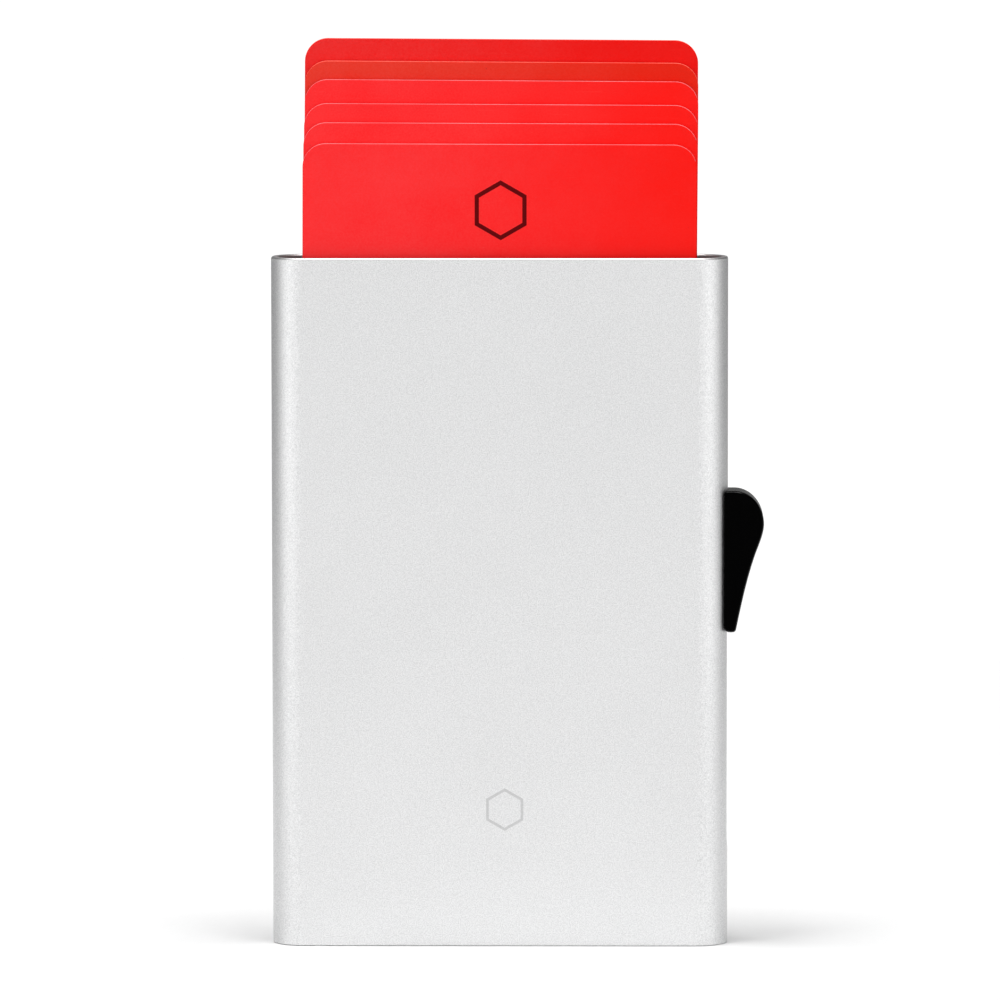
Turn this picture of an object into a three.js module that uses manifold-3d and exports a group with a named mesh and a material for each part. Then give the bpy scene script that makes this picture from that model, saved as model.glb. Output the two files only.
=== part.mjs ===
// Minimalist card wallet: an extruded aluminium sleeve holding six cards. A thumb grip on the right
// side slides up and down; through a yoke it swings a stepped lever that fans the cards out of the mouth.
//
// Frame: millimetres, +Z up through the mouth, front face towards -Y, +X to the right.
// Origin: centre of the flat underside. The model is built with the grip raised and the cards fanned.

import * as THREE from 'three';
import { mergeVertices } from 'three/addons/utils/BufferGeometryUtils.js';
import Module from 'manifold-3d';

const wasm = await Module();
wasm.setup();

// Sleeve
const CASE_WIDTH = 62.8;
const CASE_DEPTH = 10;
const CASE_HEIGHT = 95;
const CASE_CORNER = 4.5;
const WALL = 1;
const RIM_CHAMFER = 0.3;
const INNER_X = CASE_WIDTH / 2 - WALL;
const INNER_Y = CASE_DEPTH / 2 - WALL;

// Cards: standard plastic cards, front to rear
const CARD_WIDTH = 53.98;
const CARD_HEIGHT = 85.6;
const CARD_THICKNESS = 0.76;
const CARD_CORNER = 3.18;
const CARD_COUNT = 6;
const CARD_PITCH = 0.9;
const FRONT_CARD_Y = -3.07;
const FRONT_CARD_OUT = 15.5;
const FAN_STEP = 2.84;
const STOW_DEPTH = 1.5;
const STOWED_BOTTOM = CASE_HEIGHT - STOW_DEPTH - CARD_HEIGHT;

// Fan drive: the lever swings through SWING while the slider travels TRAVEL
const SWING = THREE.MathUtils.degToRad(40);
const TRAVEL = 34;
const PIVOT_X = -27.9;
const PIVOT_Z = 7.5;
const PIVOT_PIN_RADIUS = 0.7;
const HUB_RADIUS = 1.4;
const DRIVE_RADIUS = TRAVEL / Math.sin(SWING);
const DRIVE_PIN_RADIUS = 1;
const RUNNING_GAP = 0.3;
const NOSE_GAP = 0.12;
const STEP_DROP = 0.03;
const UNDERSIDE_SLOPE = 0.07;
const SPINE_Y = [2.1, 2.9];
const YOKE_Y = [3.1, 3.8];

// Slider and grip, at the raised end of the travel
const YOKE_Z = PIVOT_Z + TRAVEL;
const NECK_Z = [48.2, 57.8];
const NECK_HALF_DEPTH = 1.15;
const SLOT_HALF_DEPTH = 1.5;
const SLOT_END_GAP = 0.9;
const CARRIAGE_X = [27.5, 30.1];
const CARRIAGE_Y = [-1.7, 2.9];
const CARRIAGE_Z = [44.6, 60.2];
const FOOT_LEFT = 23;
const FOOT_Z = [48, 57];
const GRIP_HALF_DEPTH = 3.2;
const GRIP_BEVEL = 0.45;
const GRIP_BOTTOM = 43.3;
const GRIP_TOP = 63;
const GRIP_REACH = 36.2;
const SADDLE_GAP = 0.12;
const SCREW_Z = [51.2, 56];
const SCREW_RADIUS = 0.6;
const SCREW_HEAD_RADIUS = 1.1;
const SCREW_TIP_X = 33;
const SCREW_SEAT_X = CARRIAGE_X[0] + 0.9;
const RIVET_RADIUS = 0.8;
const RIVET_X = 24.8;
const RIVET_Z = [50, 55];

// Inner trim
const PLUG_HEIGHT = 1.5;
const CHEEK_RADIUS = 1.3;
const RAIL_X = [27.3, INNER_X];
const RAIL_TOP = 93.5;
const RAIL_FRONT_Y = [-INNER_Y, -2.35];
const LEFT_RAIL_BOTTOM = 12.5;
const LINER_X = [-26.5, 21.5];
const LINER_Y = [2.6, 3.9];
const LINER_Z = [47.5, 92];
const FELT_Z = [60, 90];
const FELT_WIDTH = 12;
const FELT_OFFSET = 8;
const FIT_GAP = 0.1;

const aluminium = { color: 0xd6d7d8, roughness: 0.42, metalness: 0.9 };
const matteBlack = { color: 0x0c0c0d, roughness: 0.55, metalness: 0 };
const innerBlack = { color: 0x1a1a1c, roughness: 0.7, metalness: 0 };
const steel = { color: 0x9a9da1, roughness: 0.3, metalness: 1 };
const felt = { color: 0x2b2c30, roughness: 0.95, metalness: 0 };
const redPlastic = { color: 0xf03232, roughness: 0.4, metalness: 0 };

const wallet = new THREE.Group();

function toSolid(geometry) {
  const bare = geometry.clone();
  bare.deleteAttribute('normal');
  bare.deleteAttribute('uv');
  const merged = mergeVertices(bare, 1e-5);
  const mesh = new wasm.Mesh({
    numProp: 3,
    vertProperties: new Float32Array(merged.attributes.position.array),
    triVerts: new Uint32Array(merged.index.array),
  });
  return new wasm.Manifold(mesh);
}

function addPiece(name, solid, finish) {
  const mesh = solid.getMesh();
  const geometry = new THREE.BufferGeometry();
  geometry.setAttribute('position', new THREE.BufferAttribute(mesh.vertProperties, 3));
  geometry.setIndex(new THREE.BufferAttribute(mesh.triVerts, 1));
  geometry.computeVertexNormals();
  const piece = new THREE.Mesh(geometry, new THREE.MeshStandardMaterial(finish));
  piece.name = name;
  wallet.add(piece);
}

// A rounded rectangle about the origin.
function roundedRectangle(width, height, radius) {
  const x = width / 2 - radius;
  const y = height / 2 - radius;
  const outline = new THREE.Shape();
  outline.absarc(x, y, radius, 0, Math.PI / 2);
  outline.absarc(-x, y, radius, Math.PI / 2, Math.PI);
  outline.absarc(-x, -y, radius, Math.PI, 1.5 * Math.PI);
  outline.absarc(x, -y, radius, 1.5 * Math.PI, 2 * Math.PI);
  outline.closePath();
  return outline;
}

// An outline in plan, raised between two heights.
function column(outline, [bottom, top], curveSegments = 5) {
  const settings = { depth: top - bottom, bevelEnabled: false, curveSegments };
  const geometry = new THREE.ExtrudeGeometry(outline, settings);
  geometry.translate(0, 0, bottom);
  return toSolid(geometry);
}

// An outline seen from the front (x, z), extruded between two depths.
function plate(outline, [front, back], curveSegments = 5) {
  const settings = { depth: back - front, bevelEnabled: false, curveSegments };
  const geometry = new THREE.ExtrudeGeometry(outline, settings);
  geometry.rotateX(Math.PI / 2);
  geometry.translate(0, back, 0);
  return toSolid(geometry);
}

function block([x0, x1], [y0, y1], [z0, z1]) {
  const geometry = new THREE.BoxGeometry(x1 - x0, y1 - y0, z1 - z0);
  geometry.translate((x0 + x1) / 2, (y0 + y1) / 2, (z0 + z1) / 2);
  return toSolid(geometry);
}

// A round bar along Y, centred on (x, z).
function barAlongY(radius, x, z, [front, back]) {
  const geometry = new THREE.CylinderGeometry(radius, radius, back - front, 20);
  geometry.translate(x, (front + back) / 2, z);
  return toSolid(geometry);
}

// A round bar along X on the sleeve's mid plane, at height z.
function barAlongX(radius, z, [left, right]) {
  const geometry = new THREE.CylinderGeometry(radius, radius, right - left, 20);
  geometry.rotateZ(Math.PI / 2);
  geometry.translate((left + right) / 2, 0, z);
  return toSolid(geometry);
}

// The sleeve's bore, shrunk by a gap: inner pieces are cut to it.
function bore(gap) {
  const width = 2 * (INNER_X - gap);
  const depth = 2 * (INNER_Y - gap);
  const outline = roundedRectangle(width, depth, CASE_CORNER - WALL - gap);
  return column(outline, [-1, CASE_HEIGHT + 1]);
}

function makeSleeve() {
  const inset = RIM_CHAMFER;
  const outline = roundedRectangle(CASE_WIDTH, CASE_DEPTH, CASE_CORNER);
  const body = new THREE.ExtrudeGeometry(outline, {
    depth: CASE_HEIGHT - 2 * inset,
    bevelThickness: inset,
    bevelSize: inset,
    bevelOffset: -inset,
    bevelSegments: 1,
    curveSegments: 5,
  });
  body.translate(0, 0, inset);
  const slotBottom = NECK_Z[0] - TRAVEL - SLOT_END_GAP;
  const slotTop = NECK_Z[1] + SLOT_END_GAP;
  const slotOutline = roundedRectangle(slotTop - slotBottom, 2 * SLOT_HALF_DEPTH, SLOT_HALF_DEPTH);
  const slot = new THREE.ExtrudeGeometry(slotOutline, { depth: 5, bevelEnabled: false, curveSegments: 8 });
  slot.rotateY(Math.PI / 2);
  slot.translate(INNER_X - 2, 0, (slotBottom + slotTop) / 2);
  return toSolid(body).subtract(bore(0)).subtract(toSolid(slot));
}

// The plug closes the foot of the sleeve; its two cheeks carry the lever's pivot pin.
function makeBasePlug() {
  const cheekOutline = new THREE.Shape();
  cheekOutline.moveTo(PIVOT_X - CHEEK_RADIUS, PLUG_HEIGHT - 0.2);
  cheekOutline.lineTo(PIVOT_X + CHEEK_RADIUS, PLUG_HEIGHT - 0.2);
  cheekOutline.lineTo(PIVOT_X + CHEEK_RADIUS, PIVOT_Z);
  cheekOutline.absarc(PIVOT_X, PIVOT_Z, CHEEK_RADIUS, 0, Math.PI);
  cheekOutline.closePath();
  const floor = block([-INNER_X, INNER_X], [-INNER_Y, INNER_Y], [0, PLUG_HEIGHT]);
  const pinHole = barAlongY(PIVOT_PIN_RADIUS + 0.05, PIVOT_X, PIVOT_Z, [-INNER_Y, INNER_Y]);
  return floor
    .add(plate(cheekOutline, [-INNER_Y, -1.3]))
    .add(plate(cheekOutline, [SPINE_Y[1] + 0.25, INNER_Y]))
    .intersect(bore(FIT_GAP))
    .subtract(pinHole);
}

function makeLeftRail() {
  const strip = block([-RAIL_X[1], -RAIL_X[0]], [-INNER_Y, INNER_Y], [LEFT_RAIL_BOTTOM, RAIL_TOP]);
  return strip.intersect(bore(FIT_GAP));
}

// The right rail guides the carriage from the front and stops it at the top.
function makeRightRail() {
  const guide = block(RAIL_X, RAIL_FRONT_Y, [PLUG_HEIGHT + 0.5, RAIL_TOP]);
  const stop = block(RAIL_X, [-INNER_Y, INNER_Y], [CARRIAGE_Z[1] + RUNNING_GAP, RAIL_TOP]);
  return guide.add(stop).intersect(bore(FIT_GAP));
}

// The lever is drawn lying flat, as (along, up) from its pivot, then swung up by SWING.
function swung(along, up) {
  const x = PIVOT_X + along * Math.cos(SWING) - up * Math.sin(SWING);
  const z = PIVOT_Z + along * Math.sin(SWING) + up * Math.cos(SWING);
  return new THREE.Vector2(x, z);
}

// One step of the stair. Its nose is an involute of a circle whose radius is the card's lift per radian,
// so the card rises in proportion to the swing. Each step lies a hair lower than the one in front of it.
function stepOutline(card, index) {
  const rise = card.lift / SWING;
  const drop = index * STEP_DROP;
  const start = STOWED_BOTTOM - PIVOT_Z - NOSE_GAP - drop;
  const underside = (along) => -HUB_RADIUS + 0.2 - drop - along * UNDERSIDE_SLOPE;
  const nosePoints = 12;
  const points = [swung(0, start)];
  let along = 0;
  for (let i = 0; i <= nosePoints; i += 1) {
    const angle = (SWING * i) / nosePoints;
    const height = start + rise * angle;
    along = rise * Math.cos(angle) + height * Math.sin(angle);
    const up = height * Math.cos(angle) - rise * Math.sin(angle);
    points.push(swung(along, up));
  }
  points.push(swung(along - 0.2, underside(along - 0.2)));
  points.push(swung(0, underside(0)));
  return new THREE.Shape(points);
}

function makeStairLever() {
  const bossRadius = DRIVE_PIN_RADIUS + 0.6;
  const bossCentre = swung(DRIVE_RADIUS, 0);
  const rootRadius = HUB_RADIUS - 0.2;
  const root = swung(0, rootRadius);
  const spine = new THREE.Shape();
  spine.moveTo(root.x, root.y);
  spine.absarc(PIVOT_X, PIVOT_Z, rootRadius, SWING + Math.PI / 2, SWING + 1.5 * Math.PI);
  spine.absarc(bossCentre.x, bossCentre.y, bossRadius, SWING - Math.PI / 2, SWING + Math.PI / 2);
  spine.closePath();
  const stepBack = (SPINE_Y[0] + SPINE_Y[1]) / 2;
  let lever = plate(spine, SPINE_Y, 8);
  lever = lever.add(barAlongY(HUB_RADIUS, PIVOT_X, PIVOT_Z, [-1.2, SPINE_Y[1] - 0.05]));
  cards.forEach((card, i) => {
    const front = card.y - CARD_THICKNESS / 2 - 0.04;
    lever = lever.add(plate(stepOutline(card, i), [front, stepBack]));
  });
  const cheekClearance = barAlongY(CHEEK_RADIUS + 1.4, PIVOT_X, PIVOT_Z, [-INNER_Y, -1]);
  const pinHole = barAlongY(PIVOT_PIN_RADIUS + 0.25, PIVOT_X, PIVOT_Z, [-INNER_Y, INNER_Y]);
  const driveHole = barAlongY(DRIVE_PIN_RADIUS + 0.05, bossCentre.x, bossCentre.y, [-INNER_Y, INNER_Y]);
  return lever.subtract(cheekClearance).subtract(pinHole).subtract(driveHole);
}

// The slot in the yoke bows so that the lever's swing stays in proportion to the slider's travel.
function makeYokePlate() {
  const outline = new THREE.Shape();
  const left = PIVOT_X + DRIVE_RADIUS * Math.cos(SWING) - 3.2;
  outline.moveTo(left, YOKE_Z - 2.4);
  outline.lineTo(28.4, YOKE_Z - 2.4);
  outline.lineTo(28.4, FOOT_Z[1]);
  outline.lineTo(FOOT_LEFT, FOOT_Z[1]);
  outline.lineTo(FOOT_LEFT, YOKE_Z + 3.8);
  outline.lineTo(left, YOKE_Z + 3.8);
  outline.closePath();
  const slotRadius = DRIVE_PIN_RADIUS + RUNNING_GAP;
  const slotSteps = 16;
  const upper = [];
  const lower = [];
  let slotEnds = null;
  for (let i = 0; i <= slotSteps; i += 1) {
    const share = i / slotSteps;
    const angle = SWING * share;
    const x = PIVOT_X + DRIVE_RADIUS * Math.cos(angle);
    const z = YOKE_Z + DRIVE_RADIUS * Math.sin(angle) - TRAVEL * share;
    upper.push(new THREE.Vector2(x, z + slotRadius));
    lower.unshift(new THREE.Vector2(x, z - slotRadius));
    if (i === 0 || i === slotSteps) {
      const end = barAlongY(slotRadius, x, z, [2, 5]);
      slotEnds = slotEnds === null ? end : slotEnds.add(end);
    }
  }
  const slot = plate(new THREE.Shape([...lower, ...upper]), [2, 5]).add(slotEnds);
  let yoke = plate(outline, YOKE_Y).subtract(slot).intersect(bore(FIT_GAP));
  for (const z of RIVET_Z) {
    yoke = yoke.subtract(barAlongY(RIVET_RADIUS + 0.05, RIVET_X, z, [2, 5]));
  }
  return yoke;
}

// Inner carriage: a block in the right channel, a neck through the sleeve's slot and a foot for the yoke.
function makeCarriage() {
  let carriage = block(CARRIAGE_X, CARRIAGE_Y, CARRIAGE_Z)
    .add(block([FOOT_LEFT, CARRIAGE_X[1]], [SPINE_Y[0], CARRIAGE_Y[1]], FOOT_Z))
    .intersect(bore(FIT_GAP + 0.05));
  const neck = block([CARRIAGE_X[1] - 1, CASE_WIDTH / 2 + 0.05], [-NECK_HALF_DEPTH, NECK_HALF_DEPTH], NECK_Z);
  carriage = carriage.add(neck);
  for (const z of SCREW_Z) {
    carriage = carriage.subtract(barAlongX(SCREW_RADIUS + 0.1, z, [CARRIAGE_X[0] - 1, CASE_WIDTH]));
    carriage = carriage.subtract(barAlongX(SCREW_HEAD_RADIUS + 0.1, z, [CARRIAGE_X[0] - 1, SCREW_SEAT_X]));
  }
  for (const z of RIVET_Z) {
    carriage = carriage.subtract(barAlongY(RIVET_RADIUS + 0.05, RIVET_X, z, [2, 5]));
  }
  return carriage;
}

function makeGripScrew(z) {
  const head = barAlongX(SCREW_HEAD_RADIUS, z, [CARRIAGE_X[0] + 0.1, SCREW_SEAT_X - 0.05]);
  const shank = barAlongX(SCREW_RADIUS, z, [SCREW_SEAT_X - 0.2, SCREW_TIP_X]);
  const driveSlot = block([CARRIAGE_X[0], CARRIAGE_X[0] + 0.4], [-2, 2], [z - 0.18, z + 0.18]);
  return head.add(shank).subtract(driveSlot);
}

// The grip: narrow at the foot, swelling into a round thumb lobe at the top, saddled over the sleeve's side.
function makeThumbGrip() {
  const inner = CASE_WIDTH / 2 - 2.5;
  const lobeRadius = 4.2;
  const lobeX = GRIP_REACH - lobeRadius;
  const lobeZ = GRIP_TOP - lobeRadius;
  const outline = new THREE.Shape();
  outline.moveTo(inner, GRIP_BOTTOM);
  outline.lineTo(31.9, GRIP_BOTTOM);
  outline.bezierCurveTo(32.6, GRIP_BOTTOM + 0.4, 32.7, 45, 32.9, 46.2);
  outline.bezierCurveTo(33.4, 49.4, 34, 51.2, 34.7, 53.2);
  outline.bezierCurveTo(35.2, 54.7, GRIP_REACH, 56.2, GRIP_REACH, lobeZ);
  outline.absarc(lobeX, lobeZ, lobeRadius, 0, Math.PI / 2);
  outline.lineTo(inner, GRIP_TOP);
  outline.closePath();
  const body = new THREE.ExtrudeGeometry(outline, {
    depth: 2 * (GRIP_HALF_DEPTH - GRIP_BEVEL),
    bevelThickness: GRIP_BEVEL,
    bevelSize: GRIP_BEVEL,
    bevelOffset: -GRIP_BEVEL,
    bevelSegments: 2,
    curveSegments: 12,
  });
  body.rotateX(Math.PI / 2);
  body.translate(0, GRIP_HALF_DEPTH - GRIP_BEVEL, 0);
  const gap = SADDLE_GAP;
  const saddle = roundedRectangle(CASE_WIDTH + 2 * gap, CASE_DEPTH + 2 * gap, CASE_CORNER + gap);
  let grip = toSolid(body).subtract(column(saddle, [GRIP_BOTTOM - 5, GRIP_TOP + 5], 8));
  for (const z of SCREW_Z) {
    grip = grip.subtract(barAlongX(SCREW_RADIUS + 0.05, z, [CASE_WIDTH / 2 - 1, SCREW_TIP_X + 0.2]));
  }
  return grip;
}

// A thin bowed leaf that presses the carriage against its guide, so that the grip stays where it is put.
function makeFrictionLeaf() {
  const front = RAIL_FRONT_Y[1] + 0.05;
  const bow = CARRIAGE_Y[0] - front - 0.05;
  const halfLength = 6;
  const thickness = 0.15;
  const middle = (CARRIAGE_Z[0] + CARRIAGE_Z[1]) / 2;
  const outline = new THREE.Shape();
  outline.moveTo(-halfLength, thickness);
  outline.lineTo(-halfLength, 0);
  outline.quadraticCurveTo(0, 2 * (bow - thickness), halfLength, 0);
  outline.lineTo(halfLength, thickness);
  outline.quadraticCurveTo(0, 2 * (bow - thickness) + thickness, -halfLength, thickness);
  const leaf = new THREE.ExtrudeGeometry(outline, { depth: 1.6, bevelEnabled: false, curveSegments: 12 });
  leaf.rotateY(-Math.PI / 2);
  leaf.translate(CARRIAGE_X[0] + 2.1, front, middle);
  return toSolid(leaf);
}

function makeFelt(x, [front, back]) {
  const outline = roundedRectangle(FELT_WIDTH, FELT_Z[1] - FELT_Z[0], 1);
  return plate(outline, [front, back], 4).translate([x, 0, (FELT_Z[0] + FELT_Z[1]) / 2]);
}

function makeCard(card) {
  const outline = roundedRectangle(CARD_WIDTH, CARD_HEIGHT, CARD_CORNER);
  const body = plate(outline, [card.y - CARD_THICKNESS / 2, card.y + CARD_THICKNESS / 2]);
  return body.translate([0, 0, STOWED_BOTTOM + card.lift + CARD_HEIGHT / 2]);
}

const cards = [];
for (let i = 0; i < CARD_COUNT; i += 1) {
  const lift = FRONT_CARD_OUT + STOW_DEPTH + i * FAN_STEP;
  cards.push({ name: `card_${i + 1}`, y: FRONT_CARD_Y + i * CARD_PITCH, lift });
}

// Fixed pieces of the case
addPiece('case_sleeve', makeSleeve(), aluminium);
addPiece('base_plug', makeBasePlug(), innerBlack);
addPiece('left_rail', makeLeftRail(), innerBlack);
addPiece('right_rail', makeRightRail(), innerBlack);
addPiece('back_liner', block(LINER_X, LINER_Y, LINER_Z), innerBlack);
addPiece('pivot_pin', barAlongY(PIVOT_PIN_RADIUS, PIVOT_X, PIVOT_Z, [-3.4, 3.4]), steel);
for (const [side, x] of [['left', -FELT_OFFSET - FELT_WIDTH / 2], ['right', FELT_OFFSET + FELT_WIDTH / 2]]) {
  addPiece(`front_felt_${side}`, makeFelt(x, [-INNER_Y + 0.02, -INNER_Y + 0.45]), felt);
  addPiece(`back_felt_${side}`, makeFelt(x, [LINER_Y[0] - 0.47, LINER_Y[0] - 0.02]), felt);
}

// Slider
addPiece('slider_carriage', makeCarriage(), innerBlack);
addPiece('yoke_plate', makeYokePlate(), steel);
RIVET_Z.forEach((z, i) => {
  addPiece(`yoke_rivet_${i + 1}`, barAlongY(RIVET_RADIUS, RIVET_X, z, [SPINE_Y[0] + 0.05, YOKE_Y[1]]), steel);
});
addPiece('thumb_grip', makeThumbGrip(), matteBlack);
SCREW_Z.forEach((z, i) => addPiece(`grip_screw_${i + 1}`, makeGripScrew(z), steel));
addPiece('friction_leaf', makeFrictionLeaf(), steel);

// Lever
addPiece('stair_lever', makeStairLever(), innerBlack);
const drivePoint = swung(DRIVE_RADIUS, 0);
const drivePin = barAlongY(DRIVE_PIN_RADIUS, drivePoint.x, drivePoint.y, [SPINE_Y[0] + 0.05, YOKE_Y[1] - 0.05]);
addPiece('drive_pin', drivePin, steel);

// Cards
for (const card of cards) {
  addPiece(card.name, makeCard(card), redPlastic);
}

export default wallet;
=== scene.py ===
"""Looks for a minimalist card wallet.

A bead-blasted aluminium sleeve, a black thumb grip and six red cards are made again here, with rounded
edges. The pieces inside the sleeve are the frame's own, with a finish each.
"""

import math

import bmesh
import bpy
from mathutils import Matrix, Vector


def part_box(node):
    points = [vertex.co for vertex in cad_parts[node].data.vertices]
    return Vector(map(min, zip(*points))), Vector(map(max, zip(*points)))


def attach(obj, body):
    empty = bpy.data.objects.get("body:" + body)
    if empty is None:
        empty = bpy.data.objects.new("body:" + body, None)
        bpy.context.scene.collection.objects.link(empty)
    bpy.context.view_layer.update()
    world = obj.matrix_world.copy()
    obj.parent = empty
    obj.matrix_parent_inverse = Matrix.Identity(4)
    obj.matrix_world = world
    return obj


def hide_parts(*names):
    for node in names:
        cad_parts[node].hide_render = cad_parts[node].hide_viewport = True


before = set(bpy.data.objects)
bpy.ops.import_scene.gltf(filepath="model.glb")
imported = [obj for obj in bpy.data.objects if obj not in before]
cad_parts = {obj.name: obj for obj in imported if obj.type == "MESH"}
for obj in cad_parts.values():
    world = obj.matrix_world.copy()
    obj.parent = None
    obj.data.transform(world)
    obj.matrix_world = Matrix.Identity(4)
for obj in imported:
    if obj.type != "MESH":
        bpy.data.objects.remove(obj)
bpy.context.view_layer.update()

MM = 0.001

# How far a cutter runs past the faces it cuts through
CUTTER_SPARE = 1.0 * MM

# Sleeve: its section, its softened rim, and the slot in its right side
SLEEVE_STEPS = 28
SLEEVE_CORNER = 4.5 * MM
WALL = 1.0 * MM
RIM_ROUND = 0.28 * MM
SLOT_HALF_DEPTH = 1.5 * MM
SLOT_HALF_LENGTH = 22.7 * MM
SLOT_MIDDLE_Z = 36.0 * MM

# Cards: standard corners, and a cut edge that has lost its sharpness
CARD_CORNER = 3.18 * MM
CARD_CORNER_STEPS = 20
CARD_EDGE_ROUND = 0.13 * MM

# Grip: heights are above its foot, and x is from the middle of the sleeve
GRIP_EDGE_ROUND = 0.5 * MM
GRIP_CORNER_TOP = 0.8 * MM
GRIP_CORNER_FOOT = 1.1 * MM
GRIP_OVERLAP = 0.8 * MM
LOBE_X = 32.3 * MM
LOBE_HEIGHT = 14.95 * MM
LOBE_WIDE = 4.05 * MM
LOBE_HIGH = 4.6 * MM
LOBE_STEPS = 24
GRIP_CORNER_STEPS = 6
SADDLE_GAP = 0.12 * MM

# Generic six-sided marks
CARD_MARK_WIDTH = 8.2 * MM
CARD_MARK_LINE = 0.66 * MM
CARD_MARK_ABOVE_RIM = 6.5 * MM
CARD_MARK_X = 0.2 * MM
CASE_MARK_WIDTH = 5.9 * MM
CASE_MARK_LINE = 0.42 * MM
CASE_MARK_HEIGHT = 19.0 * MM
CASE_MARK_X = 0.7 * MM
MARK_PROUD = 0.012 * MM

# Camera: angles in degrees, distance in metres, lens in millimetres
CAMERA_AZIMUTH = 0.8
CAMERA_ELEVATION = 5.34
CAMERA_DISTANCE = 1.158
CAMERA_ROLL = -0.059
CAMERA_LENS = 302.55
AIM = Vector((0.025 * MM, 0, 61.335 * MM))

# Studio: sizes in metres, then the radiance of each part of the room
FLOOR_HALF_SIDE = 0.35
SOFTBOX_HEIGHT = 5.0
SOFTBOX_Y = -0.48
SOFTBOX_DEPTH = 1.9
FRONT_WALL = 0.84
FRONT_CANOPY = 1.5
SIDE_WALL = 1.7
BACK_WALL = 0.25
CEILING = 0.02
BACKDROP = 1.05
# How much lower the dark ceiling reaches at the sides than in front, in the view ray's height
SIDE_DROP = 0.22

sleeve_low, sleeve_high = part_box("case_sleeve")
grip_low, grip_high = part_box("thumb_grip")


# ---------------------------------------------------------------- mesh helpers


def rounded_rectangle(half_x, half_y, radius, steps):
    """Corner points of a rounded rectangle about the origin, anticlockwise."""
    points = []
    corners = ((1, 1, 0.0), (-1, 1, 0.5), (-1, -1, 1.0), (1, -1, 1.5))
    for side_x, side_y, start in corners:
        centre = Vector((side_x * (half_x - radius), side_y * (half_y - radius)))
        for i in range(steps + 1):
            angle = (start + 0.5 * i / steps) * math.pi
            points.append(centre + radius * Vector((math.cos(angle), math.sin(angle))))
    return points


def prism(name, outline, start, end, place):
    """A closed prism: the outline's two coordinates and a depth go through place() to a point."""
    mesh = bmesh.new()
    count = len(outline)
    near = [mesh.verts.new(place(p[0], p[1], start)) for p in outline]
    far = [mesh.verts.new(place(p[0], p[1], end)) for p in outline]
    mesh.faces.new(near)
    mesh.faces.new(far)
    for i in range(count):
        j = (i + 1) % count
        mesh.faces.new((near[i], near[j], far[j], far[i]))
    bmesh.ops.recalc_face_normals(mesh, faces=mesh.faces)
    return finish_mesh(name, mesh)


def finish_mesh(name, mesh):
    """Turns a mesh being built into an object of the scene."""
    data = bpy.data.meshes.new(name)
    mesh.to_mesh(data)
    mesh.free()
    piece = bpy.data.objects.new(name, data)
    bpy.context.scene.collection.objects.link(piece)
    return piece


def across_front(x, z, y):
    """Places an outline drawn as seen from the front, with its depth along y."""
    return Vector((x, y, z))


def in_plan(x, y, z):
    """Places an outline drawn as seen from above, with its depth along z."""
    return Vector((x, y, z))


def along_width(y, z, x):
    """Places an outline drawn as seen from the side, with its depth along x."""
    return Vector((x, y, z))


def cut(piece, *cutters):
    """Takes each cutter out of the piece and throws the cutters away."""
    for cutter in cutters:
        modifier = piece.modifiers.new("cut", "BOOLEAN")
        modifier.operation = "DIFFERENCE"
        modifier.solver = "EXACT"
        modifier.object = cutter
        settle(piece)
        bpy.data.objects.remove(cutter)


def settle(piece):
    """Applies the piece's modifiers to its mesh."""
    graph = bpy.context.evaluated_depsgraph_get()
    data = bpy.data.meshes.new_from_object(piece.evaluated_get(graph))
    piece.modifiers.clear()
    piece.data = data


def round_edges(piece, width, segments, angle=35):
    """Rounds every edge sharper than the angle; the full width is kept even where edges lie close."""
    modifier = piece.modifiers.new("edge", "BEVEL")
    modifier.width = width
    modifier.segments = segments
    modifier.limit_method = "ANGLE"
    modifier.angle_limit = math.radians(angle)
    modifier.use_clamp_overlap = False
    settle(piece)


def shade_smooth(piece, angle=40):
    """Shades the piece smooth, with a crease wherever an edge is sharper than the angle."""
    for face in piece.data.polygons:
        face.use_smooth = True
    piece.data.set_sharp_from_angle(angle=math.radians(angle))
    modifier = piece.modifiers.new("normals", "WEIGHTED_NORMAL")
    modifier.keep_sharp = True
    settle(piece)


# ------------------------------------------------------------- material helpers


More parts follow.
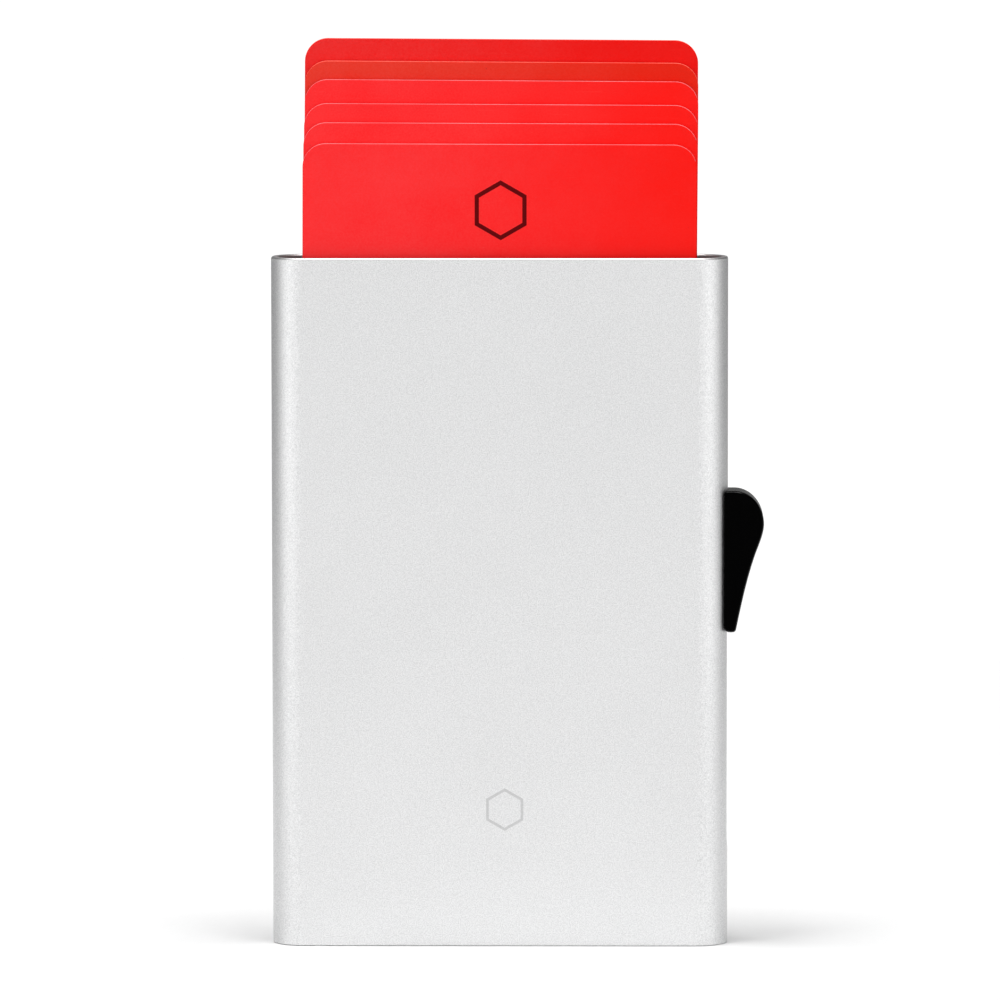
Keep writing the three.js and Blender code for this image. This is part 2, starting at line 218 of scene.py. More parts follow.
class Recipe:
    """A node tree being written: add nodes, set their values and join sockets."""

    def __init__(self, tree):
        self.tree = tree

    def add(self, kind, **values):
        """Adds a node and sets its own settings."""
        node = self.tree.nodes.new(kind)
        for key, value in values.items():
            setattr(node, key, value)
        return node

    def feed(self, node, **inputs):
        """Gives a node's inputs a number or a socket each; an underscore stands for a space in a name."""
        for key, value in inputs.items():
            name = key.replace("_", " ")
            socket = node.inputs[name]
            if isinstance(value, bpy.types.NodeSocket):
                self.tree.links.new(value, socket)
            else:
                socket.default_value = value
        return node

    def join(self, source, target):
        self.tree.links.new(source, target)

    def math(self, operation, first, second=None):
        """One sum, on numbers or sockets."""
        node = self.add("ShaderNodeMath", operation=operation)
        for i, value in enumerate((first, second)):
            if value is None:
                continue
            if isinstance(value, bpy.types.NodeSocket):
                self.join(value, node.inputs[i])
            else:
                node.inputs[i].default_value = value
        return node.outputs[0]

    def noise(self, vector, scale, detail=2.0, roughness=0.5):
        """A noise that varies about 0.5."""
        node = self.add("ShaderNodeTexNoise")
        self.feed(node, Vector=vector, Scale=scale, Detail=detail, Roughness=roughness)
        return node.outputs[0]

    def remap(self, value, low, high, to_low, to_high):
        """Stretches the range low to high over to_low to to_high, and holds it at both ends."""
        node = self.add("ShaderNodeMapRange")
        self.join(value, node.inputs[0])
        for i, number in enumerate((low, high, to_low, to_high)):
            if isinstance(number, bpy.types.NodeSocket):
                self.join(number, node.inputs[i + 1])
            else:
                node.inputs[i + 1].default_value = number
        return node.outputs[0]

    def spread(self, noise, to_low, to_high):
        """Stretches a noise over to_low to to_high; noise seldom leaves the range 0.3 to 0.7."""
        return self.remap(noise, 0.3, 0.7, to_low, to_high)

    def mix_colour(self, factor, first, second):
        """Goes from the first colour to the second as the factor goes from 0 to 1."""
        node = self.add("ShaderNodeMix", data_type="RGBA")
        # A colour mix has its factor at input 0 and its colours at inputs 6 and 7
        self.join(factor, node.inputs[0])
        for socket, colour in ((node.inputs[6], first), (node.inputs[7], second)):
            if isinstance(colour, bpy.types.NodeSocket):
                self.join(colour, socket)
            else:
                socket.default_value = (*colour, 1.0)
        return node.outputs[2]


def new_group(name, inputs, outputs):
    """A new shader group with named number inputs and outputs; returns its recipe and its two ends."""
    tree = bpy.data.node_groups.new(name, "ShaderNodeTree")
    for label, default in inputs:
        socket = tree.interface.new_socket(label, in_out="INPUT", socket_type="NodeSocketFloat")
        socket.default_value = default
    for label in outputs:
        tree.interface.new_socket(label, in_out="OUTPUT", socket_type="NodeSocketFloat")
    recipe = Recipe(tree)
    return recipe, recipe.add("NodeGroupInput"), recipe.add("NodeGroupOutput")


def blast_grain_group():
    """The fine pitted grain of a blasted surface, with broad faint clouding."""
    recipe, given, result = new_group(
        "blast_grain", [("Grain per metre", 5200.0), ("Clouding", 0.5)], ["Tone", "Height"]
    )
    place = recipe.add("ShaderNodeTexCoord").outputs["Object"]
    fine = recipe.noise(place, given.outputs["Grain per metre"], detail=3.0, roughness=0.65)
    coarse_scale = recipe.math("MULTIPLY", given.outputs["Grain per metre"], 0.4)
    coarse = recipe.noise(place, coarse_scale, detail=2.0)
    cloud = recipe.noise(place, 55.0, detail=3.0)
    pits = recipe.math("ADD", recipe.math("MULTIPLY", fine, 0.85), recipe.math("MULTIPLY", coarse, 0.15))
    drift = recipe.math("MULTIPLY", recipe.math("SUBTRACT", cloud, 0.5), given.outputs["Clouding"])
    recipe.join(recipe.math("ADD", pits, drift), result.inputs["Tone"])
    recipe.join(pits, result.inputs["Height"])
    return recipe.tree


def scratch_group():
    """Sparse hairline scratches and specks from handling."""
    recipe, given, result = new_group(
        "handling_marks", [("Scratches", 0.5), ("Specks", 0.5)], ["Scratch", "Speck"]
    )
    place = recipe.add("ShaderNodeTexCoord").outputs["Object"]
    lines = None
    for turn, stretch in ((0.35, 34.0), (-0.9, 48.0), (1.35, 27.0)):
        mapping = recipe.add("ShaderNodeMapping")
        recipe.feed(mapping, Vector=place)
        mapping.inputs["Rotation"].default_value = (0.0, turn, 0.0)
        mapping.inputs["Scale"].default_value = (1.0, 1.0, stretch)
        warp = recipe.noise(mapping.outputs[0], 60.0, detail=1.0)
        off_line = recipe.math("ABSOLUTE", recipe.math("SUBTRACT", warp, 0.5))
        hair = recipe.remap(off_line, 0.0, 0.0035, 1.0, 0.0)
        patch = recipe.remap(recipe.noise(place, 130.0 + 20.0 * turn, detail=0.0), 0.56, 0.66, 0.0, 1.0)
        stroke = recipe.math("MULTIPLY", hair, patch)
        lines = stroke if lines is None else recipe.math("MAXIMUM", lines, stroke)
    cells = recipe.add("ShaderNodeTexVoronoi")
    recipe.feed(cells, Vector=place, Scale=420.0)
    dots = recipe.remap(cells.outputs["Distance"], 0.02, 0.06, 1.0, 0.0)
    chosen = recipe.remap(recipe.noise(place, 300.0, detail=0.0), 0.6, 0.68, 0.0, 1.0)
    recipe.join(recipe.math("MULTIPLY", lines, given.outputs["Scratches"]), result.inputs["Scratch"])
    specks = recipe.math("MULTIPLY", recipe.math("MULTIPLY", dots, chosen), given.outputs["Specks"])
    recipe.join(specks, result.inputs["Speck"])
    return recipe.tree


def edge_finder_group():
    """Where an edge stands out: the surface normal against the normal of a rounded copy of the edge."""
    recipe, given, result = new_group(
        "edge_finder", [("Width in metres", 0.0003), ("Strength", 1.0)], ["Edge"]
    )
    rounded = recipe.add("ShaderNodeBevel", samples=6)
    recipe.feed(rounded, Radius=given.outputs["Width in metres"])
    surface = recipe.add("ShaderNodeNewGeometry")
    likeness = recipe.add("ShaderNodeVectorMath", operation="DOT_PRODUCT")
    recipe.join(rounded.outputs["Normal"], likeness.inputs[0])
    recipe.join(surface.outputs["Normal"], likeness.inputs[1])
    apart = recipe.remap(likeness.outputs["Value"], 0.98, 0.85, 0.0, 1.0)
    place = recipe.add("ShaderNodeTexCoord").outputs["Object"]
    broken = recipe.remap(recipe.noise(place, 900.0), 0.35, 0.6, 0.5, 1.0)
    at_edges = recipe.math("MULTIPLY", recipe.math("MULTIPLY", apart, broken), given.outputs["Strength"])
    recipe.join(at_edges, result.inputs["Edge"])
    return recipe.tree


def moulded_skin_group():
    """The spark-eroded texture of a moulded plastic skin."""
    recipe, given, result = new_group("moulded_skin", [("Texture per metre", 4200.0)], ["Tone", "Height"])
    place = recipe.add("ShaderNodeTexCoord").outputs["Object"]
    grain = recipe.noise(place, given.outputs["Texture per metre"], detail=3.0, roughness=0.6)
    flow = recipe.noise(place, 140.0, detail=2.0)
    tone = recipe.math("ADD", recipe.math("MULTIPLY", grain, 0.6), recipe.math("MULTIPLY", flow, 0.4))
    recipe.join(tone, result.inputs["Tone"])
    recipe.join(grain, result.inputs["Height"])
    return recipe.tree


GROUPS = {
    "blast": blast_grain_group(),
    "marks": scratch_group(),
    "edge_mask": edge_finder_group(),
    "skin": moulded_skin_group(),
}


def new_material(name):
    """A material with a shader joined to its output; returns it, its recipe and the shader."""
    material = bpy.data.materials.new(name)
    material.use_nodes = True
    material.node_tree.nodes.clear()
    recipe = Recipe(material.node_tree)
    surface = recipe.add("ShaderNodeBsdfPrincipled")
    output = recipe.add("ShaderNodeOutputMaterial")
    recipe.join(surface.outputs[0], output.inputs["Surface"])
    return material, recipe, surface


def use_group(recipe, key, **inputs):
    """Places one of the shared groups, with this material's own values."""
    node = recipe.add("ShaderNodeGroup")
    node.node_tree = GROUPS[key]
    return recipe.feed(node, **inputs)


def raise_bump(recipe, surface, height, distance, strength=1.0):
    """Lets a height stir the surface's normal; the distance is in metres."""
    bump = recipe.add("ShaderNodeBump")
    recipe.feed(bump, Height=height, Distance=distance, Strength=strength)
    recipe.join(bump.outputs[0], surface.inputs["Normal"])


def anodised_aluminium():
    """Clear-anodised, bead-blasted aluminium, brighter where its edges are broken."""
    material, recipe, surface = new_material("anodised_aluminium")
    blast = use_group(recipe, "blast", Grain_per_metre=6400.0, Clouding=0.05)
    edge_mask = use_group(recipe, "edge_mask", Strength=0.8)
    marks = use_group(recipe, "marks", Scratches=0.2, Specks=0.2)
    tone = recipe.spread(blast.outputs["Tone"], 0.0, 1.0)
    base = recipe.mix_colour(tone, (0.60, 0.603, 0.606), (0.925, 0.927, 0.93))
    at_edges = recipe.mix_colour(edge_mask.outputs["Edge"], base, (0.97, 0.97, 0.975))
    recipe.feed(surface, Base_Color=at_edges, Metallic=1.0)
    rough = recipe.spread(blast.outputs["Tone"], 0.50, 0.42)
    rough = recipe.math("SUBTRACT", rough, recipe.math("MULTIPLY", edge_mask.outputs["Edge"], 0.12))
    rough = recipe.math("SUBTRACT", rough, recipe.math("MULTIPLY", marks.outputs["Scratch"], 0.1))
    recipe.feed(surface, Roughness=rough)
    raise_bump(recipe, surface, blast.outputs["Height"], 0.00003, 0.5)
    return material


def card_ink_and_sheen(name, left_colour, right_colour):
    """A satin card print, its lacquer thinner towards the right, its colour paler on the left: a painted
    sheen.
    """
    material, recipe, surface = new_material(name)
    place = recipe.add("ShaderNodeTexCoord").outputs["Object"]
    parts = recipe.add("ShaderNodeSeparateXYZ")
    recipe.join(place, parts.inputs[0])
    across = recipe.remap(parts.outputs["X"], -0.012, 0.024, 0.0, 1.0)
    skin = use_group(recipe, "skin", Texture_per_metre=4200.0)
    marks = use_group(recipe, "marks", Scratches=0.1, Specks=0.35)
    # The colour runs from left to right across the card: the paler left is a painted sheen
    ink_and_painted_sheen = recipe.mix_colour(across, left_colour, right_colour)
    scratched = recipe.mix_colour(marks.outputs["Scratch"], ink_and_painted_sheen, (1.0, 0.12, 0.11))
    specked = recipe.mix_colour(marks.outputs["Speck"], scratched, (0.28, 0.004, 0.004))
    recipe.feed(surface, Base_Color=specked)
    recipe.feed(surface, Roughness=recipe.spread(skin.outputs["Tone"], 0.42, 0.5))
    lacquer = recipe.remap(across, 0.0, 1.0, 0.64, 0.24)
    mottle = recipe.spread(skin.outputs["Tone"], 0.55, 1.45)
    recipe.feed(surface, Coat_Weight=recipe.math("MULTIPLY", lacquer, mottle))
    surface.inputs["Coat Roughness"].default_value = 0.46
    surface.inputs["Specular IOR Level"].default_value = 0.0
    raise_bump(recipe, surface, skin.outputs["Height"], 0.000008, 0.3)
    return material


def pale_core_and_highlight(name, low, high):
    """The paler core on a cut card's edge, uneven where the cutter dragged the print; on the top edge also
    a painted highlight.
    """
    material, recipe, surface = new_material(name)
    skin = use_group(recipe, "skin", Texture_per_metre=5000.0)
    tone = recipe.remap(skin.outputs["Tone"], 0.35, 0.65, 0.0, 1.0)
    recipe.feed(surface, Base_Color=recipe.mix_colour(tone, low, high))
    recipe.feed(surface, Roughness=recipe.spread(skin.outputs["Tone"], 0.5, 0.62))
    surface.inputs["Specular IOR Level"].default_value = 0.2
    return material


def moulded_plastic(name, dark, light, rubbed_and_highlight, rough, gloss, glancing_coat):
    """Moulded plastic: finely textured, paler at scuffed edges (on the grip a painted highlight), shinier
    at a glancing angle.
    """
    material, recipe, surface = new_material(name)
    surface.inputs["Specular IOR Level"].default_value = gloss
    surface.inputs["Coat Roughness"].default_value = rough
    glance = recipe.feed(recipe.add("ShaderNodeLayerWeight"), Blend=0.5)
    coat = recipe.remap(glance.outputs["Facing"], 0.15, 0.8, 0.0, glancing_coat)
    recipe.feed(surface, Coat_Weight=coat)
    skin = use_group(recipe, "skin", Texture_per_metre=4200.0)
    edge_mask = use_group(recipe, "edge_mask", Strength=0.8)
    marks = use_group(recipe, "marks", Scratches=0.3, Specks=0.3)
    tone = recipe.spread(skin.outputs["Tone"], 0.0, 1.0)
    base = recipe.mix_colour(tone, dark, light)
    # The edges go paler: scuffing, and on the grip a painted highlight
    at_edges = recipe.mix_colour(edge_mask.outputs["Edge"], base, rubbed_and_highlight)
    dust = recipe.math("MULTIPLY", marks.outputs["Speck"], 0.5)
    recipe.feed(surface, Base_Color=recipe.mix_colour(dust, at_edges, (0.12, 0.12, 0.12)))
    uneven = recipe.spread(skin.outputs["Tone"], rough - 0.05, rough + 0.05)
    recipe.feed(surface, Roughness=uneven)
    raise_bump(recipe, surface, skin.outputs["Height"], 0.00002, 0.6)
    return material


def stainless_steel():
    """Rolled stainless strip and turned pins, with fine lengthwise lines."""
    material, recipe, surface = new_material("stainless_steel")
    place = recipe.add("ShaderNodeTexCoord").outputs["Object"]
    mapping = recipe.add("ShaderNodeMapping")
    recipe.feed(mapping, Vector=place)
    mapping.inputs["Scale"].default_value = (400.0, 400.0, 9000.0)
    lines = recipe.noise(mapping.outputs[0], 1.0, detail=2.0)
    base = recipe.mix_colour(lines, (0.44, 0.45, 0.46), (0.66, 0.67, 0.68))
    recipe.feed(surface, Base_Color=base, Metallic=1.0)
    recipe.feed(surface, Roughness=recipe.spread(lines, 0.26, 0.4))
    raise_bump(recipe, surface, lines, 0.00001, 0.3)
    return material


def felt_strip():
    """Short dark felt: fine fibres in loose tufts."""
    material, recipe, surface = new_material("felt_strip")
    place = recipe.add("ShaderNodeTexCoord").outputs["Object"]
    fibre = recipe.noise(place, 3800.0, detail=4.0, roughness=0.8)
    tuft = recipe.noise(place, 600.0, detail=2.0)
    tone = recipe.math("MULTIPLY", fibre, tuft)
    recipe.feed(surface, Base_Color=recipe.mix_colour(tone, (0.012, 0.012, 0.015), (0.11, 0.112, 0.12)))
    recipe.feed(surface, Roughness=recipe.spread(fibre, 0.88, 1.0))
    surface.inputs["Sheen Weight"].default_value = 0.3
    raise_bump(recipe, surface, fibre, 0.0002, 0.7)
    return material


def printed_mark():
    """Dark red ink, as matt as the card's lacquer lets it be."""
    material, recipe, surface = new_material("printed_mark")
    skin = use_group(recipe, "skin", Texture_per_metre=5000.0)
    dark, light = (0.085, 0.0, 0.001), (0.15, 0.001, 0.002)
    recipe.feed(surface, Base_Color=recipe.mix_colour(skin.outputs["Tone"], dark, light))
    recipe.feed(surface, Roughness=recipe.spread(skin.outputs["Tone"], 0.45, 0.55))
    surface.inputs["Specular IOR Level"].default_value = 0.05
    return material


def etched_mark():
    """A line etched into the sleeve's face: the same grain, greyer and a little rougher."""
    material, recipe, surface = new_material("etched_mark")
    blast = use_group(recipe, "blast", Clouding=0.1)
    dark, light = (0.50, 0.50, 0.505), (0.72, 0.72, 0.725)
    recipe.feed(surface, Base_Color=recipe.mix_colour(blast.outputs["Tone"], dark, light))
    recipe.feed(surface, Metallic=1.0, Roughness=recipe.spread(blast.outputs["Tone"], 0.62, 0.5))
    return material


# ------------------------------------------------------------------- pieces


def make_sleeve(aluminium, painted_mouth_shade):
    """The sleeve, with its slot in the right side; its inside faces carry a grey, a painted shade for the
    mouth's opening.
    """
    half_x = (sleeve_high.x - sleeve_low.x) / 2
    half_y = (sleeve_high.y - sleeve_low.y) / 2
    outer = rounded_rectangle(half_x, half_y, SLEEVE_CORNER, SLEEVE_STEPS)
    inner = rounded_rectangle(half_x - WALL, half_y - WALL, SLEEVE_CORNER - WALL, SLEEVE_STEPS)
    sleeve = prism("sleeve_shell", outer, sleeve_low.z, sleeve_high.z, in_plan)
    hollow = prism("hollow", inner, sleeve_low.z - CUTTER_SPARE, sleeve_high.z + CUTTER_SPARE, in_plan)
    # A hair under a full round end, so that no two points of the outline fall on each other
    end_radius = SLOT_HALF_DEPTH * 0.999
    slot = rounded_rectangle(SLOT_HALF_DEPTH, SLOT_HALF_LENGTH, end_radius, 12)
    slot = [p + Vector((0, SLOT_MIDDLE_Z)) for p in slot]
    window = prism("window", slot, half_x - WALL - CUTTER_SPARE, half_x + CUTTER_SPARE, along_width)
    cut(sleeve, hollow)
    round_edges(sleeve, RIM_ROUND, 3)
    cut(sleeve, window)
    shade_smooth(sleeve)
    sleeve.data.materials.clear()
    sleeve.data.materials.append(aluminium)
    sleeve.data.materials.append(painted_mouth_shade)
    # The inside faces take the grey painted shade of the mouth's opening
    for face in sleeve.data.polygons:
        # An inside face is upright, lies within the wall and looks towards the sleeve's middle line
        upright = abs(face.normal.z) < 0.3
        within = abs(face.center.x) < half_x - WALL * 0.98
        turned_in = face.normal.x * face.center.x + face.normal.y * face.center.y < -0.3 * WALL
        face.material_index = 1 if upright and within and turned_in else 0
    return sleeve


def make_card(name, node, ink_and_sheen_material, pale_core_and_highlight_material, fit):
    """A card with rounded corners and a softened edge.

    The fit is the card's lean in degrees, its foot's shift to the side and what its top is taller by.
    The card's core shows on its cut edge; on the top and foot edges it reaches further round, a painted
    highlight along the top.
    """
    lean, sideways, taller = fit
    low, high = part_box(node)
    centre = (low + high) / 2
    half_width = (high.x - low.x) / 2
    half_height = (high.z - low.z + taller) / 2
    outline = rounded_rectangle(half_width, half_height, CARD_CORNER, CARD_CORNER_STEPS)
    outline = [p + Vector((0, half_height)) for p in outline]
    card = prism(name, outline, low.y - centre.y, high.y - centre.y, across_front)
    round_edges(card, CARD_EDGE_ROUND, 2)
    shade_smooth(card, 60)
    card.data.materials.clear()
    card.data.materials.append(ink_and_sheen_material)
    card.data.materials.append(pale_core_and_highlight_material)
    for face in card.data.polygons:
        # Top and foot edges take the core further round: a painted highlight along the top edge
        pale_core_and_highlight_reach = 0.8 if abs(face.normal.z) > 0.3 else 0.3
        face.material_index = 1 if abs(face.normal.y) < pale_core_and_highlight_reach else 0
    foot = Vector((centre.x + sideways, centre.y, low.z))
    card.data.transform(Matrix.Translation(foot) @ Matrix.Rotation(math.radians(lean), 4, "Y"))
    return card


def curve_points(start, first_handle, second_handle, end, steps):
    """Points on a cubic curve, without its first one."""
    points = []
    for i in range(1, steps + 1):
        t = i / steps
        s = 1 - t
        handles = 3 * s * s * t * first_handle + 3 * s * t * t * second_handle
        points.append(s**3 * start + handles + t**3 * end)
    return points


def arc(centre, reach_x, reach_y, quarter, steps):
    """Points of a quarter ellipse about a centre, without its first one; it starts at the given quarter."""
    points = []
    for i in range(1, steps + 1):
        angle = math.pi / 2 * (quarter + i / steps)
        points.append(centre + Vector((reach_x * math.cos(angle), reach_y * math.sin(angle))))
    return points


def grip_outline(inner_x, foot):
    """The grip from the front, anticlockwise from its foot: a concave tail, the lobe, two round corners."""

    def at(x, z):
        return Vector((x * MM, z * MM + foot))

    toe = at(32.0, 0)
    heel = at(32.55, 0.45)
    waist = at(35.13, 10.7)
    lobe = Vector((LOBE_X, foot + LOBE_HEIGHT))
    widest = lobe + Vector((LOBE_WIDE, 0))
    top = lobe.y + LOBE_HIGH
    outline = [Vector((inner_x + GRIP_CORNER_FOOT, foot)), toe]
    outline += curve_points(toe, at(32.4, 0), at(32.5, 0.2), heel, 4)
    outline += curve_points(heel, at(33.26, 3.85), at(33.97, 7.3), waist, 14)
    outline += curve_points(waist, at(35.67, 12.2), at(36.35, 13.65), widest, 10)
    outline += arc(lobe, LOBE_WIDE, LOBE_HIGH, 0, LOBE_STEPS)
    top_corner = Vector((inner_x + GRIP_CORNER_TOP, top - GRIP_CORNER_TOP))
    outline.append(top_corner + Vector((0, GRIP_CORNER_TOP)))
    outline += arc(top_corner, GRIP_CORNER_TOP, GRIP_CORNER_TOP, 1, GRIP_CORNER_STEPS)
    foot_corner = Vector((inner_x + GRIP_CORNER_FOOT, foot + GRIP_CORNER_FOOT))
    outline.append(foot_corner - Vector((GRIP_CORNER_FOOT, 0)))
    outline += arc(foot_corner, GRIP_CORNER_FOOT, GRIP_CORNER_FOOT, 2, GRIP_CORNER_STEPS)[:-1]
    return outline


def make_grip(plastic):
    """The thumb grip: a round lobe above a tapering tail, hollowed to sit on the sleeve's side."""
    foot = grip_low.z
    top = foot + LOBE_HEIGHT + LOBE_HIGH
    outline = grip_outline(sleeve_high.x - GRIP_OVERLAP, foot)
    grip = prism("grip_shell", outline, grip_low.y, grip_high.y, across_front)
    round_edges(grip, GRIP_EDGE_ROUND, 4, 50)
    half_x = sleeve_high.x + SADDLE_GAP
    half_y = sleeve_high.y + SADDLE_GAP
    saddle = rounded_rectangle(half_x, half_y, SLEEVE_CORNER + SADDLE_GAP, SLEEVE_STEPS)
    cut(grip, prism("saddle", saddle, foot - CUTTER_SPARE, top + CUTTER_SPARE, in_plan))
    shade_smooth(grip, 50)
    grip.data.materials.clear()
    grip.data.materials.append(plastic)
    return grip


def make_mark(name, centre, width, line, front, material):
    """A thin six-sided ring, standing a hair proud of the face it is on."""
    mesh = bmesh.new()
    rings = []
    for y in (front, front - MARK_PROUD):
        for radius in (width / 2, width / 2 - line):
            ring = []
            for i in range(6):
                angle = math.pi / 3 * i + math.pi / 6
                x = centre.x + radius * math.cos(angle)
                z = centre.z + radius * math.sin(angle)
                ring.append(mesh.verts.new((x, y, z)))
            rings.append(ring)
    back_outer, back_inner, front_outer, front_inner = rings
    for i in range(6):
        j = (i + 1) % 6
        mesh.faces.new((front_outer[i], front_outer[j], front_inner[j], front_inner[i]))
        mesh.faces.new((back_outer[i], back_outer[j], back_inner[j], back_inner[i]))
        mesh.faces.new((back_outer[i], back_outer[j], front_outer[j], front_outer[i]))
        mesh.faces.new((back_inner[i], back_inner[j], front_inner[j], front_inner[i]))
    bmesh.ops.recalc_face_normals(mesh, faces=mesh.faces)
    mark = finish_mesh(name, mesh)
    mark.data.materials.append(material)
    return mark


def dress(nodes, material):
    """Gives carried-over nodes their finish."""
    for name in nodes:
        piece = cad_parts[name]
        piece.data.materials.clear()
        piece.data.materials.append(material)


# ------------------------------------------------------------ camera and studio


def direction(azimuth, elevation):
    """Unit vector from the object towards a point at that azimuth and elevation, in degrees."""
    a = math.radians(azimuth)
    e = math.radians(elevation)
    return Vector((math.sin(a) * math.cos(e), -math.cos(a) * math.cos(e), math.sin(e)))


def set_camera():
    """Stands the camera in front of the wallet, a little above it, with a long lens."""
    data = bpy.data.cameras.new("camera")
    data.lens = CAMERA_LENS
    data.sensor_width = 36.0
    camera = bpy.data.objects.new("camera", data)
    bpy.context.scene.collection.objects.link(camera)
    away = direction(CAMERA_AZIMUTH, CAMERA_ELEVATION)
    camera.location = AIM + CAMERA_DISTANCE * away
    turn = (-away).to_track_quat("-Z", "Y").to_matrix().to_4x4()
    roll = Matrix.Rotation(math.radians(CAMERA_ROLL), 4, "Z")
    camera.matrix_world = Matrix.Translation(camera.location) @ turn @ roll
    bpy.context.scene.camera = camera


def overhead_softbox(name, x, width, radiance):
    """A soft rectangular light of even radiance, facing straight down from high above the wallet."""
    data = bpy.data.lights.new(name, "AREA")
    data.shape = "RECTANGLE"
    data.size = width
    data.size_y = SOFTBOX_DEPTH
    data.energy = radiance * math.pi * width * SOFTBOX_DEPTH
    light = bpy.data.objects.new(name, data)
    bpy.context.scene.collection.objects.link(light)
    light.location = (x, SOFTBOX_Y, SOFTBOX_HEIGHT)


def make_floor():
    """A sheet of pale paper under the wallet."""
    mesh = bmesh.new()
    bmesh.ops.create_grid(mesh, x_segments=2, y_segments=2, size=FLOOR_HALF_SIDE)
    floor = finish_mesh("studio_floor", mesh)
    material, recipe, surface = new_material("paper_floor")
    place = recipe.add("ShaderNodeTexCoord").outputs["Object"]
    fibre = recipe.noise(place, 900.0, detail=2.0)
    recipe.feed(surface, Base_Color=recipe.mix_colour(fibre, (0.90, 0.90, 0.90), (0.93, 0.93, 0.93)))
    surface.inputs["Roughness"].default_value = 0.9
    surface.inputs["Specular IOR Level"].default_value = 0.0
    floor.data.materials.append(material)


def make_world():
    """A white room: bright to the front and sides, dim behind, dark overhead, its backdrop plain white.

    Radiance is worked out from the view ray: Y is towards the back, Z up.
    """
    world = bpy.data.worlds.new("studio")
    bpy.context.scene.world = world
    world.use_nodes = True
    world.node_tree.nodes.clear()
    recipe = Recipe(world.node_tree)
    ray = recipe.add("ShaderNodeTexCoord").outputs["Generated"]
    parts = recipe.add("ShaderNodeSeparateXYZ")
    recipe.join(ray, parts.inputs[0])
    # The front wall brightens upwards into its canopy, and gives way to the side walls and then the back
    front = recipe.remap(parts.outputs["Z"], 0.08, 0.28, FRONT_WALL, FRONT_CANOPY)
    toward_side = recipe.remap(parts.outputs["Y"], -0.95, -0.7, front, SIDE_WALL)
    behind = recipe.remap(parts.outputs["Y"], -0.45, 0.2, 0.0, 1.0)
    around = recipe.remap(behind, 0.0, 1.0, toward_side, BACK_WALL)
    # Above the walls the ceiling is dark, and it begins lower away from the front
    sideways = recipe.remap(parts.outputs["Y"], -0.8, -0.45, 0.0, SIDE_DROP)
    raised = recipe.math("ADD", parts.outputs["Z"], sideways)
    above = recipe.remap(raised, 0.3, 0.55, 0.0, 1.0)
    lit = recipe.remap(above, 0.0, 1.0, around, CEILING)
    # What the camera sees past the wallet is the plain backdrop
    seen = recipe.add("ShaderNodeLightPath").outputs["Is Camera Ray"]
    background = recipe.add("ShaderNodeBackground")
    background.inputs["Color"].default_value = (1.0, 1.0, 1.0, 1.0)
    recipe.join(recipe.remap(seen, 0.0, 1.0, lit, BACKDROP), background.inputs["Strength"])
    output = recipe.add("ShaderNodeOutputWorld")
    recipe.join(background.outputs[0], output.inputs["Surface"])


def make_studio():
    """Floor, room and two softboxes, each of which throws the wallet's shadow to its other side."""
    make_floor()
    make_world()
    overhead_softbox("left_softbox", -1.0, 1.5, 18.6)
    overhead_softbox("right_softbox", 0.88, 1.25, 16.7)


# ----------------------------------------------------------------- the wallet

set_camera()
make_studio()
bpy.context.scene.view_settings.view_transform = "Standard"

aluminium = anodised_aluminium()
# Print colours at the card's left and right: the paler left of the red and orange prints is a painted sheen
red_ink_and_sheen = card_ink_and_sheen("red_ink_and_sheen", (0.99, 0.009, 0.012), (0.99, 0.006, 0.003))
orange_ink_and_sheen = card_ink_and_sheen("orange_red_ink_and_sheen", (0.80, 0.021, 0.004), (0.80, 0.012, 0.0005))
rear_print = card_ink_and_sheen("rear_red_print", (0.85, 0.001, 0.0), (0.85, 0.002, 0.0))
# Core colours of the cut edges, which are also a painted highlight along the cards' top edges
red_pale_core_and_highlight = pale_core_and_highlight("red_card_pale_core_and_highlight", (0.80, 0.10, 0.12), (0.96, 0.30, 0.33))
orange_pale_core_and_highlight = pale_core_and_highlight("orange_card_pale_core_and_highlight", (0.80, 0.05, 0.03), (0.96, 0.22, 0.16))
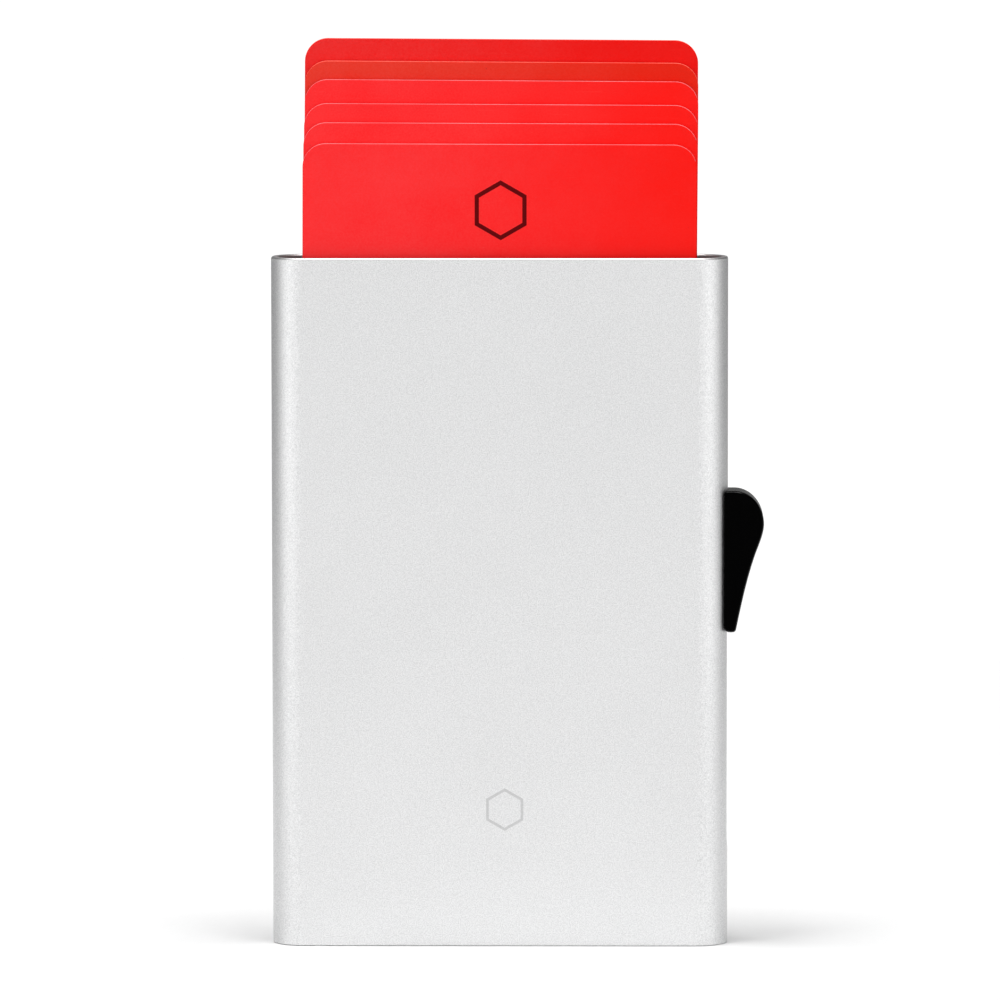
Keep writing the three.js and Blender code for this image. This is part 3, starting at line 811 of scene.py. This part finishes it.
# Plastics: dark and light tone, then the pale colour of their edges: scuffing, and on the grip a painted
# highlight
grip_black = [(0.0003, 0.0003, 0.0003), (0.0010, 0.0010, 0.0011), (0.09, 0.09, 0.092)]
# The grey of the sleeve's inside faces, a painted shade for the mouth's opening
mouth_shade_greys = [(0.22, 0.22, 0.225), (0.34, 0.34, 0.345), (0.4, 0.4, 0.4)]
inner_black = [(0.012, 0.012, 0.013), (0.024, 0.024, 0.026), (0.05, 0.05, 0.052)]
lever_grey = [(0.035, 0.035, 0.038), (0.06, 0.06, 0.064), (0.10, 0.10, 0.104)]
grip_plastic = moulded_plastic("grip_plastic", *grip_black, rough=0.25, gloss=0.01, glancing_coat=1.0)
painted_mouth_shade = moulded_plastic("painted_mouth_shade_grey", *mouth_shade_greys, rough=0.5, gloss=0.2, glancing_coat=0.1)
inner_plastic = moulded_plastic("inner_plastic", *inner_black, rough=0.6, gloss=0.4, glancing_coat=0.1)
lever_plastic = moulded_plastic("lever_plastic", *lever_grey, rough=0.5, gloss=0.4, glancing_coat=0.1)
steel = stainless_steel()
felt = felt_strip()

dress(["base_plug", "left_rail", "right_rail", "back_liner", "slider_carriage"], inner_plastic)
dress(["stair_lever"], lever_plastic)
dress(["pivot_pin", "drive_pin", "yoke_plate", "yoke_rivet_1", "yoke_rivet_2"], steel)
dress(["grip_screw_1", "grip_screw_2", "friction_leaf"], steel)
dress(["front_felt_left", "front_felt_right", "back_felt_left", "back_felt_right"], felt)

sleeve = make_sleeve(aluminium, painted_mouth_shade)
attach(sleeve, "case")
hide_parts("case_sleeve")

grip = make_grip(grip_plastic)
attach(grip, "slider")
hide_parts("thumb_grip")

# Each card's slot, print (its paler left a painted sheen), core (a painted highlight on the top edge) and
# fit, from the front one to the rear one
CARDS = (
    ("card_plastic", red_ink_and_sheen, red_pale_core_and_highlight, (0.25, -0.3 * MM, 0.05 * MM)),
    ("card_plastic", red_ink_and_sheen, red_pale_core_and_highlight, (0.28, -0.25 * MM, 0.02 * MM)),
    ("card_plastic", red_ink_and_sheen, red_pale_core_and_highlight, (0.35, -0.28 * MM, -0.26 * MM)),
    ("card_plastic", red_ink_and_sheen, red_pale_core_and_highlight, (0.41, -0.3 * MM, 0.12 * MM)),
    ("card_plastic_orange", orange_ink_and_sheen, orange_pale_core_and_highlight, (0.41, -0.3 * MM, -0.2 * MM)),
    ("card_plastic", rear_print, orange_pale_core_and_highlight, (0.4, -0.3 * MM, 0.04 * MM)),
)
for i, (slot, ink_and_sheen_finish, pale_core_and_highlight_finish, fit) in enumerate(CARDS):
    node = f"card_{i + 1}"
    card = make_card(f"card_sheet_{i + 1}", node, ink_and_sheen_finish, pale_core_and_highlight_finish, fit)
    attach(card, node)
    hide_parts(node)

front_card_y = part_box("card_1")[0].y
on_card = Vector((CARD_MARK_X, 0, sleeve_high.z + CARD_MARK_ABOVE_RIM))
card_mark = make_mark("card_mark", on_card, CARD_MARK_WIDTH, CARD_MARK_LINE, front_card_y, printed_mark())
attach(card_mark, "card_1")

on_case = Vector((CASE_MARK_X, 0, CASE_MARK_HEIGHT))
case_mark = make_mark("case_mark", on_case, CASE_MARK_WIDTH, CASE_MARK_LINE, sleeve_low.y, etched_mark())
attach(case_mark, "case")
